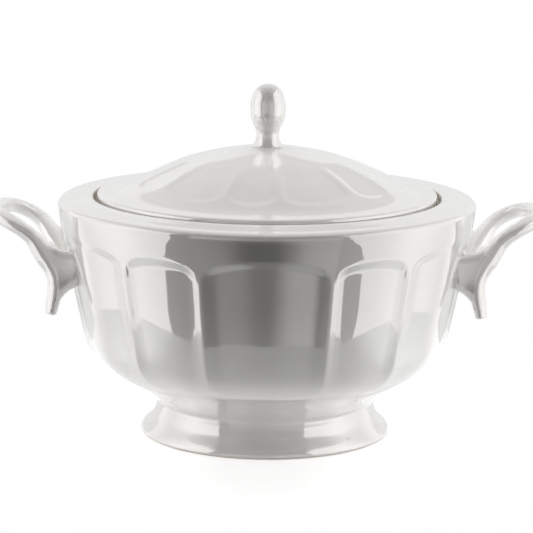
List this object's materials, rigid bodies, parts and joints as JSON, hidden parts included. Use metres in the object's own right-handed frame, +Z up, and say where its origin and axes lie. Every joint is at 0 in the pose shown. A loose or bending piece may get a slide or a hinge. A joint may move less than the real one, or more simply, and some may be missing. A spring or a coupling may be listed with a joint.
{
  "type": "soup tureen",
  "caption": "Round fluted soup tureen on a spreading foot, with loop handles and a domed lift-off lid that sits in a ledge inside the rim and has an egg-shaped knob.",
  "frame": {"origin": "centre of the foot's standing ring, on the table", "axes": "+Z up along the bowl's axis, +X through the right handle, front faces -Y"},
  "size_m": [0.3534, 0.262, 0.2204],
  "materials": {
    "bowl_glaze": "glossy white glaze over slip-cast porcelain",
    "foot_glaze": "glossy white glaze, wiped bare on the standing ring",
    "handle_glaze": "glossy white glaze",
    "lid_glaze": "glossy white glaze, wiped bare under the flange"
  },
  "bodies": {
    "tureen": {"bowl": "bowl_glaze", "pedestal_foot": "foot_glaze", "left_handle": "handle_glaze", "right_handle": "handle_glaze"},
    "cover": {"lid": "lid_glaze", "lid_knob": "lid_glaze"}
  },
  "joints": [
    {"name": "lid_lift", "type": "slide", "parent": "tureen", "child": "cover", "axis": [0, 0, 1], "range_m": [0, 0.16]}
  ]
}
